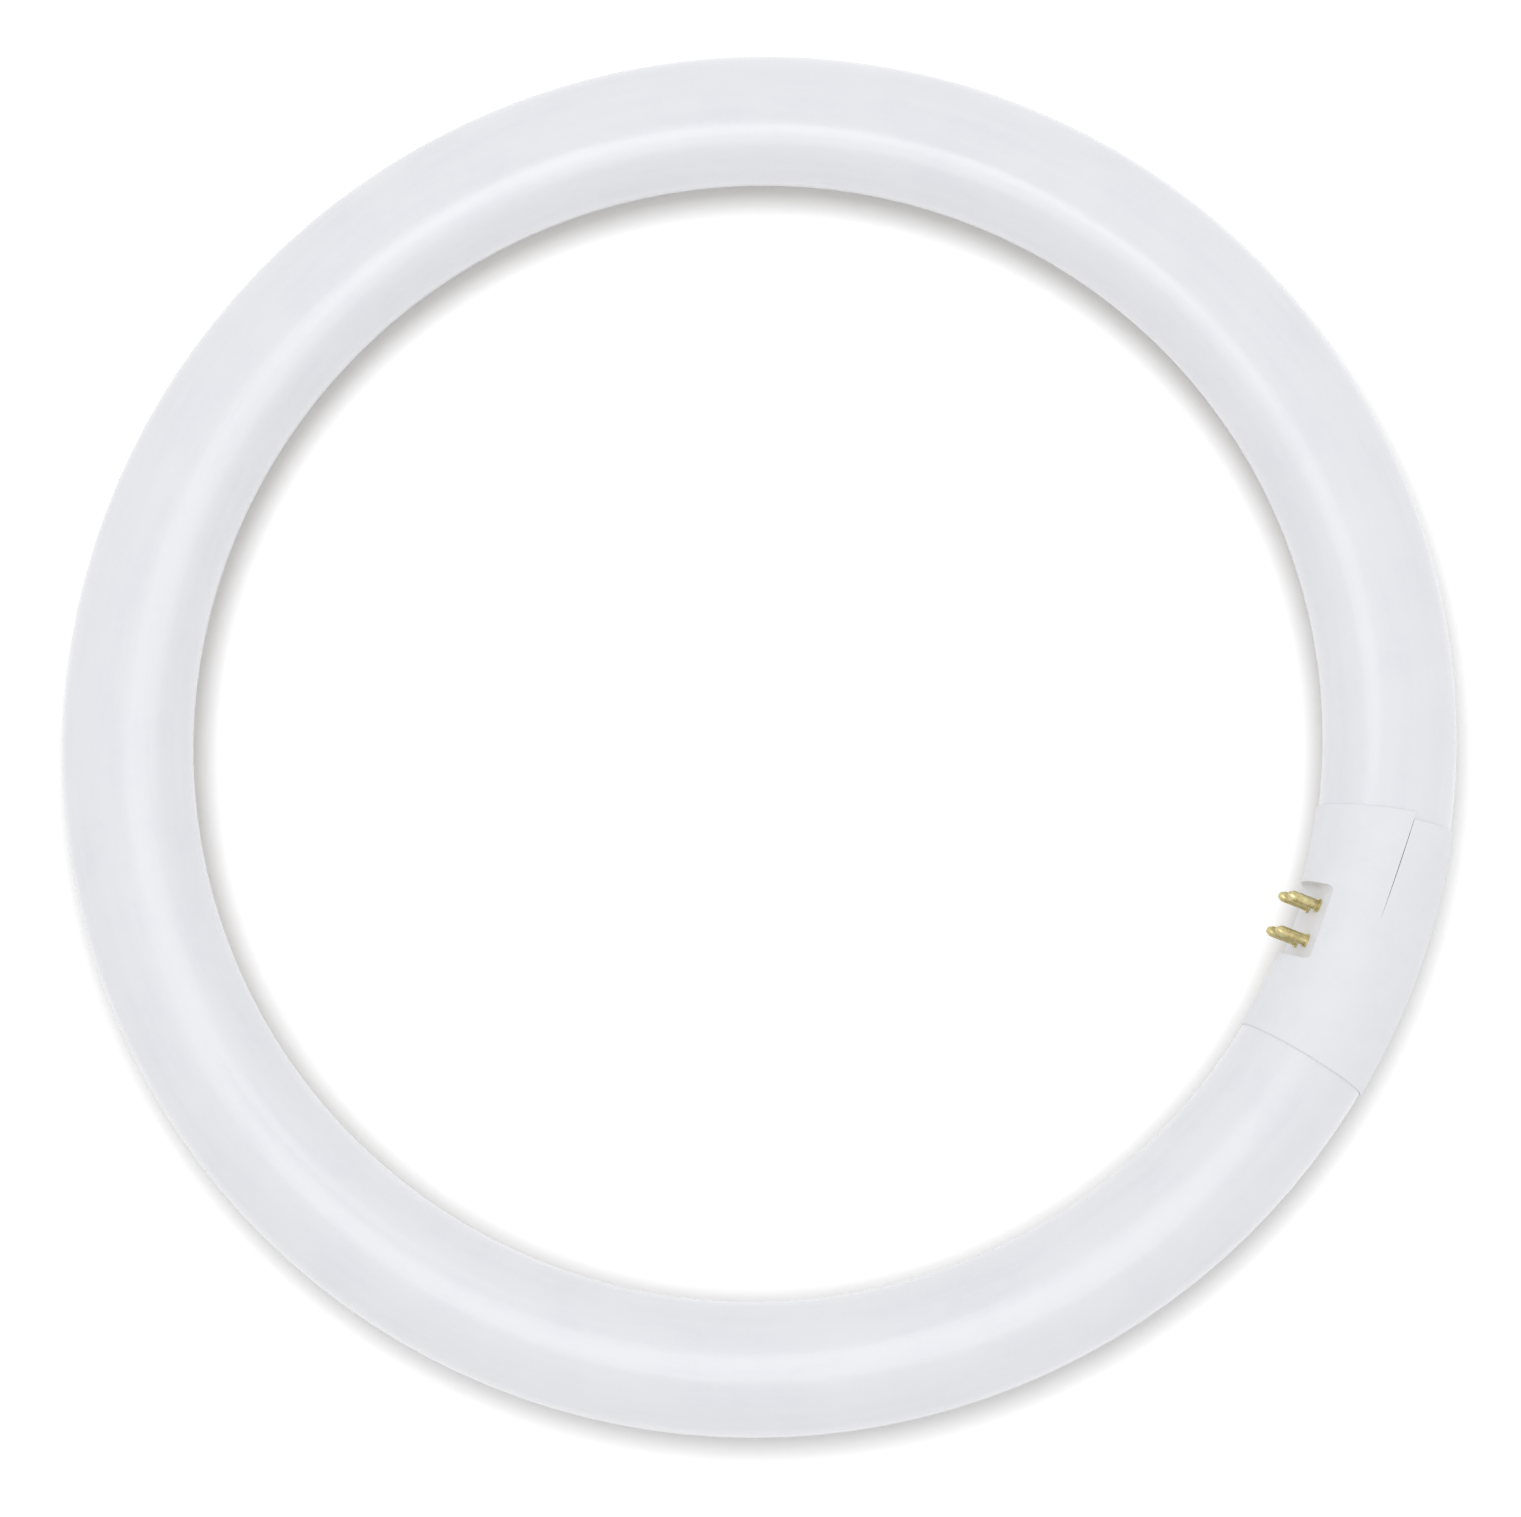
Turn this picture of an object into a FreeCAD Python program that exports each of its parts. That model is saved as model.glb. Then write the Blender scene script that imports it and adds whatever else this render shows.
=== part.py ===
"""Circular fluorescent tube: sealed glass ring, two-part base shell, four contact pins and their leads.

Millimetres. The ring lies in the XY plane about the origin, +Z is its axis and up, and the base is on +X.
The base sits turned about the tube, so its pins point to the ring's middle and lean up.
"""
import FreeCAD, Part
import math
import os
from FreeCAD import Placement, Rotation, Vector

# Ring of glass
ring_outer_d = 304.8
tube_d = 28.6

# Glass end inside the base: narrowed neck, rounded rim, funnel of the stem, tipped-off exhaust tube
glass_end_to_middle = 13.0
neck_shoulder_round = 0.4
rim_round = 3.0
funnel_mouth_r = 9.0
funnel_bottom_r = 5.5
funnel_depth = 10.0
funnel_edge_round = 1.0
exhaust_tube_r = 2.2
exhaust_tip_length = 4.0

# Base sleeve, an arc of the ring round the necks, with thin lips that reach over the full glass
base_length = 56.0
base_step = 0.4
base_wall = 1.0
neck_clearance = 0.1
lip_clearance = 0.02
base_end_round = 0.3
lip_length = 5.0
lip_end_gap = 0.4

# Turn of the seam, pocket and pins about the tube
base_lean_deg = 14.0

# Seam between the two shells: a flat parting plane on the pins' side of the tube's centre line,
# with the outer shell bowed slightly away on the +Y half
parting_offset = -1.1
seam_opening = 0.18
seam_bow_start = 4.0
seam_bow_middle = 18.0
outer_shell_setback = 1.6

# Locating tabs of the outer shell, which slide inside the inner shell
tab_width = 12.0
tab_reach = 3.0
tab_root = 3.0
tab_thickness = 1.0
tab_clearance = 0.1

# Flat-backed pin pocket right across the inner shell
pocket_width = 16.6
pin_face_depth = 11.3
pocket_corner_round = 1.3
pocket_wall = 1.2
pin_wall = 2.2

# Contact pins
pin_pitch_along = 7.92
pin_pitch_across = 6.35
pin_d = 2.35
pin_length = 7.15
tip_length = 1.4
tip_flat_r = 0.55
flange_d = 3.0
flange_thickness = 0.5
shank_d = 2.0
shank_fit = 0.02
rivet_d = 3.2
rivet_thickness = 0.5
bore_past_face = 0.8

# Lead wires, crimped in the hollow backs of the pins
wire_d = 0.6
wire_fit = 0.1
wire_bend_r = 5.0

tube_r = tube_d / 2
ring_r = ring_outer_d / 2 - tube_r
base_r = tube_r + base_step
base_inner_r = base_r - base_wall
lip_inner_r = tube_r + lip_clearance
neck_r = base_inner_r - neck_clearance
base_half_deg = math.degrees(base_length / 2 / ring_r)
parting_x = ring_r + parting_offset
pin_face_x = ring_r - pin_face_depth
lip_end_deg = math.degrees((base_length / 2 - lip_length) / ring_r)
neck_start_deg = lip_end_deg + math.degrees((lip_end_gap + neck_shoulder_round) / ring_r)
glass_cut_deg = math.degrees((glass_end_to_middle + rim_round) / ring_r)
bore_r = wire_d / 2 + wire_fit
ring_axis = Vector(0, 0, 1)
centre = Vector(0, 0, 0)
tube_axis = Vector(0, 1, 0)
tube_middle = Vector(ring_r, 0, 0)
lean = Placement(centre, Rotation(tube_axis, base_lean_deg), tube_middle)


def leaned(shape):
    """Turn a base feature about the tube, with the base's middle as the pivot."""
    shape.rotate(tube_middle, tube_axis, base_lean_deg)
    return shape


def ring_arc(radius, start_deg, sweep_deg):
    """Round bar bent along the ring."""
    circle = Part.makeCircle(radius, tube_middle, tube_axis)
    face = Part.Face(Part.Wire([circle]))
    face.rotate(centre, ring_axis, start_deg)
    return face.revolve(centre, ring_axis, sweep_deg)


def box_between(low, high):
    """Box from its lowest to its highest corner."""
    size = Vector(*high) - Vector(*low)
    return Part.makeBox(size.x, size.y, size.z, Vector(*low))


def turned(edges):
    """Solid turned about the local Z axis from a closed profile in the local XZ plane."""
    face = Part.Face(Part.Wire(edges))
    return face.revolve(centre, ring_axis, 360)


def line(first, second):
    """Profile line between two (radius, height) points."""
    return Part.makeLine(Vector(first[0], 0, first[1]), Vector(second[0], 0, second[1]))


def arc(first, middle, last):
    """Profile arc through three (radius, height) points."""
    points = [Vector(p[0], 0, p[1]) for p in (first, middle, last)]
    return Part.Arc(*points).toShape()


def corner_arc(centre_point, radius, from_deg, to_deg):
    """Profile arc about a (radius, height) point."""
    points = []
    for angle in (from_deg, (from_deg + to_deg) / 2, to_deg):
        turn = math.radians(angle)
        points.append((centre_point[0] + radius * math.cos(turn), centre_point[1] + radius * math.sin(turn)))
    return arc(*points)


def on_section(shape, ring_deg, way):
    """Place a turned shape on the ring's section at an angle.

    Its local Z then runs along the ring, anticlockwise for way 1.
    """
    turn = math.radians(ring_deg)
    place = Vector(ring_r * math.cos(turn), ring_r * math.sin(turn), 0)
    along = Vector(-way * math.sin(turn), way * math.cos(turn), 0)
    shape.Placement = Placement(place, Rotation(ring_axis, along))
    return shape


def at_glass_end(shape, side):
    """Place a turned shape on the end plane of the glass, its local Z pointing out of the tube."""
    return on_section(shape, side * glass_cut_deg, -side)


def rounded_end(radius, rounding):
    """Disc as thick as the rounding of its outer edge."""
    return turned([
        line((0, 0), (radius, 0)),
        corner_arc((radius - rounding, 0), rounding, 0, 90),
        line((radius - rounding, rounding), (0, rounding)),
        line((0, rounding), (0, 0)),
    ])


def glass_tube():
    """Ring of glass with a narrowed, rounded and funnelled end on each side of the base."""
    body = ring_arc(tube_r, neck_start_deg, 360 - 2 * neck_start_deg)
    neck_deg = neck_start_deg - glass_cut_deg
    for side in (1, -1):
        body = body.fuse(on_section(rounded_end(tube_r, neck_shoulder_round), side * neck_start_deg, -side))
        body = body.fuse(ring_arc(neck_r, glass_cut_deg if side > 0 else -neck_start_deg, neck_deg))
        body = body.fuse(at_glass_end(rounded_end(neck_r, rim_round), side))
    for side in (1, -1):
        edge_r = funnel_mouth_r + funnel_edge_round
        funnel = turned([
            line((exhaust_tube_r, rim_round), (edge_r, rim_round)),
            corner_arc((edge_r, rim_round - funnel_edge_round), funnel_edge_round, 90, 180),
            line((funnel_mouth_r, rim_round - funnel_edge_round), (funnel_bottom_r, -funnel_depth)),
            line((funnel_bottom_r, -funnel_depth), (exhaust_tube_r, -funnel_depth)),
            line((exhaust_tube_r, -funnel_depth), (exhaust_tube_r, rim_round)),
        ])
        body = body.cut(at_glass_end(funnel, side))
        tip_top = rim_round + exhaust_tip_length
        tip = turned([
            line((0, 0), (exhaust_tube_r, 0)),
            line((exhaust_tube_r, 0), (exhaust_tube_r, tip_top - exhaust_tube_r)),
            corner_arc((0, tip_top - exhaust_tube_r), exhaust_tube_r, 0, 90),
            line((0, tip_top), (0, 0)),
        ])
        body = body.fuse(at_glass_end(tip, side))
    return body.removeSplitter()


def base_sleeve(start_deg, end_deg):
    """Sleeve round the glass ends with rounded outer ends and a thin lip at each."""
    trim_deg = math.degrees(base_end_round / ring_r)
    first_deg = start_deg + trim_deg
    last_deg = end_deg - trim_deg
    bar = ring_arc(base_r, first_deg, last_deg - first_deg)
    bar = bar.fuse(on_section(rounded_end(base_r, base_end_round), first_deg, -1))
    bar = bar.fuse(on_section(rounded_end(base_r, base_end_round), last_deg, 1))
    sleeve = bar.cut(ring_arc(base_inner_r, start_deg - 1, end_deg - start_deg + 2))
    lip_deg = base_half_deg - lip_end_deg + 1
    sleeve = sleeve.cut(ring_arc(lip_inner_r, -base_half_deg - 1, lip_deg))
    return sleeve.cut(ring_arc(lip_inner_r, lip_end_deg, lip_deg))


def side_of_seam(edges):
    """Tall leaned prism over a plan outline, for dividing the sleeve."""
    prism = Part.Face(Part.Wire(edges)).extrude(Vector(0, 0, 4 * base_r))
    prism.translate(Vector(0, 0, -2 * base_r))
    return leaned(prism)


def plan_lines(points):
    """Lines joining plan points in order."""
    corners = [Vector(x, y, 0) for x, y in points]
    return [Part.makeLine(first, second) for first, second in zip(corners, corners[1:])]


def pin_places():
    """Pin axes as (y, z) before the base is leaned, the upper pair first."""
    y = pin_pitch_along / 2
    z = pin_pitch_across / 2
    return [(y, z), (-y, z), (y, -z), (-y, -z)]


def base_inner_shell():
    """Part of the sleeve on the ring's inside, with the pin pocket."""
    far = 2 * base_length
    region = side_of_seam(plan_lines([(0, -far), (parting_x, -far), (parting_x, far), (0, far), (0, -far)]))
    shell = base_sleeve(-base_half_deg, base_half_deg).common(region)
    half = pocket_width / 2
    front_x = ring_r - base_r - 1
    top = base_r + 1
    liner = box_between(
        (front_x, -half - pocket_wall, -top),
        (pin_face_x + pin_wall, half + pocket_wall, top),
    )
    shell = shell.fuse(leaned(liner).common(ring_arc(base_r, -base_half_deg, 2 * base_half_deg)))
    pocket = box_between((front_x, -half, -top), (pin_face_x, half, top))
    corners = []
    for edge in pocket.Edges:
        middle = edge.CenterOfMass
        if abs(middle.x - pin_face_x) < 0.01 and abs(abs(middle.y) - half) < 0.01:
            corners.append(edge)
    shell = shell.cut(leaned(pocket.makeFillet(pocket_corner_round, corners)))
    hole_r = shank_d / 2 + shank_fit
    for y, z in pin_places():
        hole = Part.makeCylinder(hole_r, pin_wall + 2, Vector(pin_face_x - 1, y, z), Vector(1, 0, 0))
        shell = shell.cut(leaned(hole))
    return shell


def base_outer_shell():
    """Part of the sleeve on the ring's outside, with two tabs that locate it in the inner shell."""
    far = 2 * base_length
    end_deg = base_half_deg - math.degrees(outer_shell_setback / ring_r)
    bow_end = 2 * seam_bow_middle - seam_bow_start
    outline = plan_lines([
        (parting_x, seam_bow_start),
        (parting_x, -far),
        (ring_outer_d, -far),
        (ring_outer_d, far),
        (parting_x, far),
        (parting_x, bow_end),
    ])
    bow = [(parting_x, bow_end), (parting_x + seam_opening, seam_bow_middle), (parting_x, seam_bow_start)]
    outline.append(Part.Arc(*[Vector(x, y, 0) for x, y in bow]).toShape())
    shell = base_sleeve(-base_half_deg, end_deg).common(side_of_seam(outline))
    half = tab_width / 2
    tab_r = base_inner_r - tab_clearance
    ring = ring_arc(tab_r, -base_half_deg, 2 * base_half_deg)
    ring = ring.cut(ring_arc(tab_r - tab_thickness, -base_half_deg - 1, 2 * base_half_deg + 2))
    root = ring_arc(base_inner_r + base_wall / 2, -base_half_deg, 2 * base_half_deg)
    root = root.cut(ring_arc(tab_r - tab_thickness, -base_half_deg - 1, 2 * base_half_deg + 2))
    root_x = parting_x + seam_opening
    for low, high in ((0, base_r), (-base_r, 0)):
        reach = box_between((parting_x - tab_reach, -half, low), (parting_x + tab_root, half, high))
        foot = box_between((root_x, -half, low), (parting_x + tab_root, half, high))
        shell = shell.fuse(ring.common(leaned(reach))).fuse(root.common(leaned(foot)))
    return shell


def contact_pin(y, z):
    """Turned pin, hollow at the back.

    Its shank is riveted through the pocket's wall, and a flange, body and tapered tip stand in the pocket.
    """
    shank_r = shank_d / 2
    body_r = pin_d / 2
    back = -pin_wall - rivet_thickness
    tip_start = pin_length - tip_length
    tip_drop = body_r - tip_flat_r
    taper_r = (tip_length ** 2 + tip_drop ** 2) / (2 * tip_drop)
    taper_deg = math.degrees(math.asin(tip_length / taper_r))
    pin = turned([
        line((bore_r, back), (rivet_d / 2, back)),
        line((rivet_d / 2, back), (rivet_d / 2, -pin_wall)),
        line((rivet_d / 2, -pin_wall), (shank_r, -pin_wall)),
        line((shank_r, -pin_wall), (shank_r, 0)),
        line((shank_r, 0), (flange_d / 2, 0)),
        line((flange_d / 2, 0), (flange_d / 2, flange_thickness)),
        line((flange_d / 2, flange_thickness), (body_r, flange_thickness)),
        line((body_r, flange_thickness), (body_r, tip_start)),
        corner_arc((body_r - taper_r, tip_start), taper_r, 0, taper_deg),
        line((tip_flat_r, pin_length), (0, pin_length)),
        line((0, pin_length), (0, bore_past_face)),
        line((0, bore_past_face), (bore_r, bore_past_face)),
        line((bore_r, bore_past_face), (bore_r, back)),
    ])
    pin.Placement = Placement(Vector(pin_face_x, y, z), Rotation(ring_axis, Vector(-1, 0, 0)))
    return leaned(pin)


def lead_wire(y, z):
    """Lead from the stem's funnel, round one bend and into the hollow back of its pin."""
    side = 1 if y > 0 else -1
    turn = math.radians(glass_cut_deg)
    slope = math.radians(base_lean_deg)
    reach = ring_r * math.sin(turn) + funnel_depth * math.cos(turn)
    start = Vector(ring_r * math.cos(turn) - funnel_depth * math.sin(turn), side * reach, 0)
    run = Vector(math.sin(turn), -side * math.cos(turn), 0)
    corner = start + run * ((start.y - y) / (-run.y))
    # Height at which the leaned pin's axis passes over the corner
    height = z / math.cos(slope) - (corner.x - ring_r) * math.tan(slope)
    start.z = height
    corner.z = height
    leave = Vector(-math.cos(slope), 0, math.sin(slope))
    bend = math.acos(run.dot(leave))
    setback = wire_bend_r * math.tan(bend / 2)
    first = corner - run * setback
    last = corner + leave * setback
    inward = (leave - run).normalize()
    pivot = corner + inward * (wire_bend_r / math.cos(bend / 2))
    middle = pivot - inward * wire_bend_r
    end = lean.multVec(Vector(pin_face_x - bore_past_face, y, z))
    path = Part.Wire([
        Part.LineSegment(start, first).toShape(),
        Part.Arc(first, middle, last).toShape(),
        Part.LineSegment(last, end).toShape(),
    ])
    section = Part.Wire([Part.makeCircle(wire_d / 2, start, run)])
    return path.makePipeShell([section], True, False)


os.makedirs("parts", exist_ok=True)
pieces = {
    "glass_tube": glass_tube(),
    "base_inner_shell": base_inner_shell(),
    "base_outer_shell": base_outer_shell(),
}
for number, (pin_y, pin_z) in enumerate(pin_places(), start=1):
    pieces[f"contact_pin_{number}"] = contact_pin(pin_y, pin_z)
    pieces[f"lead_wire_{number}"] = lead_wire(pin_y, pin_z)
for name, shape in pieces.items():
    solid = shape if shape.ShapeType == "Solid" else shape.Solids[0]
    print(name, len(shape.Solids), shape.isValid(), round(solid.Volume, 2), solid.BoundBox)
    solid.exportStep(f"parts/{name}.step")
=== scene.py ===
import math

import bpy
from mathutils import Matrix, Vector


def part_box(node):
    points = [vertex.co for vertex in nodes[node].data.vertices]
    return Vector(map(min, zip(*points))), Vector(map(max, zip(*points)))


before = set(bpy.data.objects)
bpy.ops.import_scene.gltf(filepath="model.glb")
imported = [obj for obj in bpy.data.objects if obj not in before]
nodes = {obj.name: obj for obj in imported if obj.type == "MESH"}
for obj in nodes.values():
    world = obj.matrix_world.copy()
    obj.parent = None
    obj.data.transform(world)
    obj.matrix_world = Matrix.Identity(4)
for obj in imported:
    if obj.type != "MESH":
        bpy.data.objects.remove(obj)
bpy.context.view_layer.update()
scene = bpy.context.scene
scene.view_settings.view_transform = "Standard"

# Radii of the glass tube, of its centre line round the ring and of the base, in metres, from the frame.
glass_low, glass_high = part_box("glass_tube")
base_low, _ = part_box("base_outer_shell")
TUBE_R = (glass_high.z - glass_low.z) / 2
RING_R = -glass_low.x - TUBE_R
BASE_R = -base_low.z

# How far the base sits below the right-hand side of the ring in the picture.
BASE_TURN = math.radians(20.1)

# Camera: focal length and picture width in the photograph's pixels, and the sensor's width in millimetres.
FOCAL_PIXELS = 3592
PICTURE_PIXELS = 1521
SENSOR_WIDTH = 36.0

# Its place and its target: metres to the picture's right, to its top and above the ring's plane.
CAMERA_PLACE = (0.0476, -0.1237, 0.7742)
CAMERA_TARGET = (0.0018, -0.0065, 0.0)

# The nearest that it can see.
CAMERA_NEAREST = 0.01

# Floor: half its side, how far the shadow and light painted into its seen colour reach to either side of the
# tube's centre line, and its colour as a source of light.
FLOOR_REACH = 25.0
PAINTED_SHADE_REACH = 0.050
TABLE_COLOUR = (0.94, 0.933, 0.92, 1)

# Strength of the world as a source of light, and as it is seen.
WORLD_LIGHT = 0.90
WORLD_SEEN = 0.955

# Directions of the picture in the ring's plane.
picture_right = Vector((math.cos(BASE_TURN), math.sin(BASE_TURN), 0))
picture_up = Vector((-math.sin(BASE_TURN), math.cos(BASE_TURN), 0))


def in_picture(right, up, height):
    """Point from distances to the picture's right and top and above the ring's plane."""
    return picture_right * right + picture_up * up + Vector((0, 0, height))


def look(obj, place, target):
    """Put an object at a place, its -Z on the target and its +Y towards the picture's top."""
    forward = (target - place).normalized()
    side = forward.cross(picture_up).normalized()
    top = side.cross(forward)
    turn = Matrix((side, top, -forward)).transposed().to_4x4()
    obj.matrix_world = Matrix.Translation(place) @ turn


class Nodes:
    """Small helper for building one node tree."""

    def __init__(self, tree):
        self.tree = tree

    def add(self, kind, **settings):
        node = self.tree.nodes.new(kind)
        for key, value in settings.items():
            setattr(node, key, value)
        return node

    def join(self, source, target):
        self.tree.links.new(source, target)

    def put(self, value, socket):
        """Link an output or set a constant."""
        if isinstance(value, bpy.types.NodeSocket):
            self.join(value, socket)
        else:
            socket.default_value = value

    def math(self, operation, first, second=0.0):
        node = self.add("ShaderNodeMath", operation=operation)
        self.put(first, node.inputs[0])
        self.put(second, node.inputs[1])
        return node.outputs[0]

    def weighted(self, *pairs):
        """Sum of values, each times its share."""
        total = None
        for value, share in pairs:
            term = self.math("MULTIPLY", value, share)
            total = term if total is None else self.math("ADD", total, term)
        return total

    def split(self, vector):
        node = self.add("ShaderNodeSeparateXYZ")
        self.join(vector, node.inputs[0])
        return node.outputs

    def noise(self, vector, scale, detail, roughness, w=None):
        node = self.add("ShaderNodeTexNoise", noise_dimensions="3D" if w is None else "4D")
        self.put(vector, node.inputs["Vector"])
        if w is not None:
            self.put(w, node.inputs["W"])
        node.inputs["Scale"].default_value = scale
        node.inputs["Detail"].default_value = detail
        node.inputs["Roughness"].default_value = roughness
        return node.outputs["Fac"]

    def ramp(self, value, stops):
        node = self.add("ShaderNodeValToRGB")
        self.put(value, node.inputs["Fac"])
        ramp = node.color_ramp
        ramp.elements[0].position = stops[0][0]
        ramp.elements[0].color = (*stops[0][1], 1)
        ramp.elements[1].position = stops[-1][0]
        ramp.elements[1].color = (*stops[-1][1], 1)
        for place, colour in stops[1:-1]:
            ramp.elements.new(place).color = (*colour, 1)
        return node.outputs["Color"]

    def span(self, value, low, high, from_low=0.3, from_high=0.7):
        """Stretch a range of values to another. The first is by default the one that a noise mostly fills."""
        node = self.add("ShaderNodeMapRange")
        self.put(value, node.inputs["Value"])
        node.inputs["From Min"].default_value = from_low
        node.inputs["From Max"].default_value = from_high
        node.inputs["To Min"].default_value = low
        node.inputs["To Max"].default_value = high
        return node.outputs["Result"]

    def seen(self):
        """1 on rays that show a background: from the camera, off mirrors and through clear bodies."""
        ray = self.add("ShaderNodeLightPath")
        seen = self.math("MAXIMUM", ray.outputs["Is Camera Ray"], ray.outputs["Is Glossy Ray"])
        return self.math("MAXIMUM", seen, ray.outputs["Is Transmission Ray"])


class Shader(Nodes):
    """The nodes of one new material."""

    def __init__(self, name):
        self.material = bpy.data.materials.new(name)
        self.material.use_nodes = True
        super().__init__(self.material.node_tree)
        self.tree.nodes.clear()
        self.output = self.add("ShaderNodeOutputMaterial")

    def object_point(self):
        return self.add("ShaderNodeTexCoord").outputs["Object"]

    def axis_distance(self, x, y):
        """Distance from the ring's axis."""
        squares = self.math("ADD", self.math("MULTIPLY", x, x), self.math("MULTIPLY", y, y))
        return self.math("SQRT", squares)

    def bump(self, height, distance, strength):
        node = self.add("ShaderNodeBump")
        node.inputs["Strength"].default_value = strength
        node.inputs["Distance"].default_value = distance
        self.put(height, node.inputs["Height"])
        return node.outputs["Normal"]

    def principled(self, **inputs):
        node = self.add("ShaderNodeBsdfPrincipled")
        for key, value in inputs.items():
            self.put(value, node.inputs[key.replace("_", " ")])
        self.join(node.outputs["BSDF"], self.output.inputs["Surface"])


def tube_noise(shader, point):
    """Noise drawn out along the ring's tube. Its four coordinates are two circles, so it has no seam."""
    along_scale = 1.6
    round_scale = 2.2
    x, y, z = shader.split(point)
    ring = shader.axis_distance(x, y)
    along_cos = shader.math("DIVIDE", x, ring)
    along_sin = shader.math("DIVIDE", y, ring)
    round_cos = shader.math("DIVIDE", shader.math("SUBTRACT", ring, RING_R), TUBE_R)
    round_sin = shader.math("DIVIDE", z, TUBE_R)
    drawn_out = shader.add("ShaderNodeCombineXYZ")
    shader.join(shader.math("MULTIPLY", along_cos, along_scale), drawn_out.inputs[0])
    shader.join(shader.math("MULTIPLY", along_sin, along_scale), drawn_out.inputs[1])
    shader.join(shader.math("MULTIPLY", round_cos, round_scale), drawn_out.inputs[2])
    fourth = shader.math("MULTIPLY", round_sin, round_scale)
    return shader.noise(drawn_out.outputs[0], scale=2.4, detail=4.0, roughness=0.55, w=fourth)


def coated_glass():
    """Clear drawn glass over a white powder coat: glossy skin, faint draw lines, cloudy coat."""
    shader = Shader("coated_glass_look")
    point = shader.object_point()
    draw_lines = tube_noise(shader, point)
    cloud = shader.noise(point, scale=55.0, detail=5.0, roughness=0.6)
    powder = shader.noise(point, scale=900.0, detail=3.0, roughness=0.6)
    coat = shader.weighted((cloud, 0.55), (draw_lines, 0.35), (powder, 0.10))
    smear = shader.noise(point, scale=30.0, detail=4.0, roughness=0.6)
    shader.principled(
        Base_Color=shader.ramp(coat, [
            (0.36, (0.757, 0.764, 0.806)),
            (0.50, (0.787, 0.792, 0.828)),
            (0.64, (0.805, 0.808, 0.838)),
        ]),
        Roughness=shader.span(smear, low=0.19, high=0.27),
        IOR=1.52,
        Normal=shader.bump(draw_lines, distance=0.00012, strength=0.5),
    )
    return shader.material


def white_plastic():
    """Moulded white plastic with a fine spark-eroded grain."""
    shader = Shader("white_plastic_look")
    point = shader.object_point()
    grain = shader.noise(point, scale=3200.0, detail=2.0, roughness=0.5)
    flow = shader.noise(point, scale=120.0, detail=4.0, roughness=0.6)
    gloss = shader.noise(point, scale=700.0, detail=3.0, roughness=0.6)
    shader.principled(
        Base_Color=shader.ramp(shader.weighted((flow, 0.7), (grain, 0.3)), [
            (0.34, (0.771, 0.778, 0.811)),
            (0.52, (0.793, 0.800, 0.833)),
            (0.68, (0.807, 0.813, 0.843)),
        ]),
        Roughness=shader.span(gloss, low=0.42, high=0.56),
        IOR=1.48,
        Normal=shader.bump(grain, distance=0.00004, strength=0.35),
    )
    return shader.material


def pin_brass():
    """Turned brass with tool marks round it and a light, uneven tarnish."""
    shader = Shader("pin_brass_look")
    point = shader.object_point()
    squeeze_along_pin = (9.0, 0.6, 0.6)
    squeezed = shader.add("ShaderNodeMapping")
    squeezed.inputs["Scale"].default_value = squeeze_along_pin
    shader.join(point, squeezed.inputs["Vector"])
    marks = shader.noise(squeezed.outputs[0], scale=900.0, detail=3.0, roughness=0.6)
    tarnish = shader.noise(point, scale=620.0, detail=4.0, roughness=0.62)
    shader.principled(
        Base_Color=shader.ramp(tarnish, [
            (0.32, (0.42, 0.36, 0.16)),
            (0.50, (0.645, 0.555, 0.275)),
            (0.68, (0.775, 0.695, 0.40)),
        ]),
        Metallic=1.0,
        Roughness=shader.span(tarnish, low=0.38, high=0.24),
        Normal=shader.bump(marks, distance=0.00002, strength=0.4),
    )
    return shader.material


def tinned_wire():
    """Tinned lead wire: bright grey, slightly lumpy."""
    shader = Shader("tinned_wire_look")
    lumps = shader.noise(shader.object_point(), scale=1500.0, detail=3.0, roughness=0.55)
    shader.principled(
        Base_Color=shader.ramp(lumps, [
            (0.35, (0.62, 0.61, 0.58)),
            (0.65, (0.80, 0.79, 0.76)),
        ]),
        Metallic=1.0,
        Roughness=shader.span(lumps, low=0.45, high=0.28),
        Normal=shader.bump(lumps, distance=0.00006, strength=0.6),
    )
    return shader.material


glass = coated_glass()
plastic = white_plastic()
brass = pin_brass()
tin = tinned_wire()
looks = {"glass_tube": glass, "base_inner_shell": plastic, "base_outer_shell": plastic}
for number in range(1, 5):
    looks[f"contact_pin_{number}"] = brass
    looks[f"lead_wire_{number}"] = tin
for name, material in looks.items():
    for slot in nodes[name].material_slots:
        slot.material = material


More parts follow.
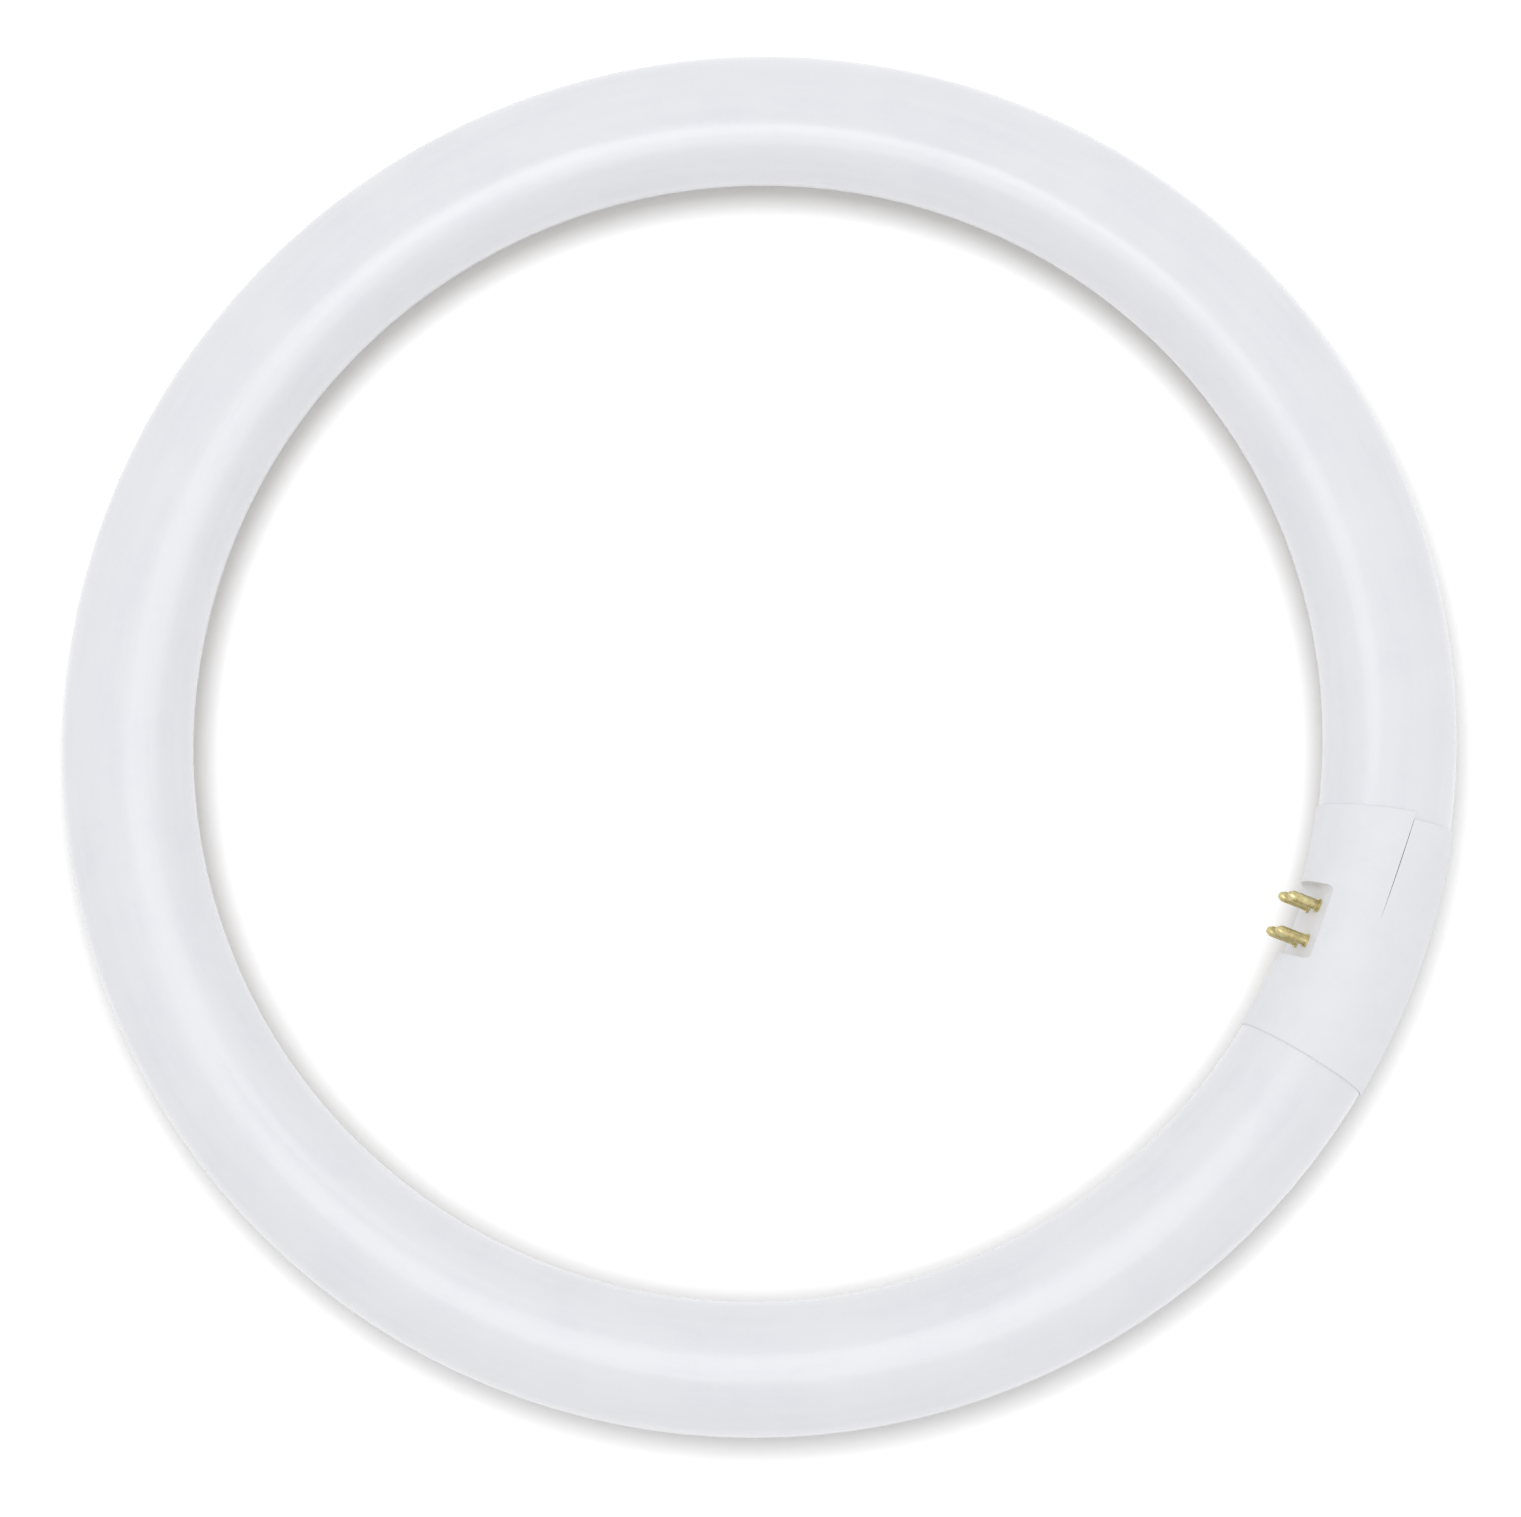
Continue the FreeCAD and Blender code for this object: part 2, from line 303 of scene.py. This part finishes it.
def floor_look():
    """White table. It is seen brighter than it is as a source of light, and close to the tube its seen colour
    carries a painted contact shadow ringed by painted light.
    """
    shader = Shader("floor_look")
    table = shader.add("ShaderNodeBsdfDiffuse")
    table.inputs["Color"].default_value = TABLE_COLOUR
    x, y, _ = shader.split(shader.object_point())
    from_tube = shader.math("SUBTRACT", shader.axis_distance(x, y), RING_R)
    across = shader.span(from_tube, low=0.0, high=1.0, from_low=-PAINTED_SHADE_REACH, from_high=PAINTED_SHADE_REACH)
    # Painted shadow and light: the seen floor is darkest and slightly warm just either side of the tube,
    # lighter a little way out, and plain far away.
    shade = shader.ramp(across, [
        (0.000, (0.530, 0.530, 0.530)),
        (0.320, (0.630, 0.630, 0.630)),
        (0.380, (0.412, 0.406, 0.392)),
        (0.620, (0.300, 0.298, 0.292)),
        (0.705, (0.610, 0.610, 0.610)),
        (1.000, (0.530, 0.530, 0.530)),
    ])
    bright = shader.add("ShaderNodeBsdfDiffuse")
    shader.join(shade, bright.inputs["Color"])
    twice = shader.add("ShaderNodeAddShader")
    shader.join(bright.outputs[0], twice.inputs[0])
    shader.join(bright.outputs[0], twice.inputs[1])
    shown = shader.add("ShaderNodeMixShader")
    shader.join(shader.seen(), shown.inputs["Fac"])
    shader.join(table.outputs[0], shown.inputs[1])
    shader.join(twice.outputs[0], shown.inputs[2])
    shader.join(shown.outputs[0], shader.output.inputs["Surface"])
    return shader.material


# The lamp lies on its base and on the glass opposite, so the floor passes under both.
lean = (BASE_R - TUBE_R) / (2 * RING_R)
corners = []
for right, up in ((-1, -1), (1, -1), (1, 1), (-1, 1)):
    x = FLOOR_REACH * right
    corners.append((x, FLOOR_REACH * up, -(BASE_R + TUBE_R) / 2 - lean * x))
floor_mesh = bpy.data.meshes.new("floor")
floor_mesh.from_pydata(corners, [], [(0, 1, 2, 3)])
floor = bpy.data.objects.new("floor", floor_mesh)
floor.data.materials.append(floor_look())
scene.collection.objects.link(floor)

# Seen directly, the world is as bright as the floor far away, so that no horizon shows in low views.
world = bpy.data.worlds.new("studio")
world.use_nodes = True
background = world.node_tree.nodes["Background"]
background.inputs["Color"].default_value = (1.0, 1.0, 1.0, 1)
sky = Nodes(world.node_tree)
strength = sky.span(sky.seen(), WORLD_LIGHT, WORLD_SEEN, from_low=0.0, from_high=1.0)
sky.join(strength, background.inputs["Strength"])
scene.world = world


def area_light(name, shape, place, target, size, watts):
    """Soft lamp, square to its target. Its size is its width and height."""
    data = bpy.data.lights.new(name, "AREA")
    data.shape = shape
    data.size, data.size_y = size
    data.energy = watts
    lamp = bpy.data.objects.new(name, data)
    scene.collection.objects.link(lamp)
    look(lamp, place, target)
    return lamp


# Two lamps make only the line of light along the glass: one for the picture's lower part, one for the rest.
near = area_light(
    "near_softbox",
    shape="ELLIPSE",
    place=in_picture(0.004, -0.226, 0.545),
    target=in_picture(-0.177, -0.732, 0.0),
    size=(0.492, 0.663),
    watts=1.15,
)
middle = area_light(
    "middle_softbox",
    shape="ELLIPSE",
    place=in_picture(-0.003, 0.013, 0.153),
    target=in_picture(-0.071, 0.160, 0.0),
    size=(0.229, 0.123),
    watts=0.090,
)
for lamp in (near, middle):
    lamp.visible_diffuse = False
    lamp.visible_camera = False

# The third lights the surfaces and makes no highlight.
top = area_light(
    "top_softbox",
    shape="RECTANGLE",
    place=in_picture(0.0, 0.24, 1.1),
    target=in_picture(0.0, 0.0, 0.0),
    size=(0.7, 0.7),
    watts=1.6,
)
top.visible_glossy = False

camera_data = bpy.data.cameras.new("camera")
camera_data.sensor_width = SENSOR_WIDTH
camera_data.lens = SENSOR_WIDTH * FOCAL_PIXELS / PICTURE_PIXELS
camera_data.clip_start = CAMERA_NEAREST
camera = bpy.data.objects.new("camera", camera_data)
scene.collection.objects.link(camera)
look(camera, in_picture(*CAMERA_PLACE), in_picture(*CAMERA_TARGET))
scene.camera = camera
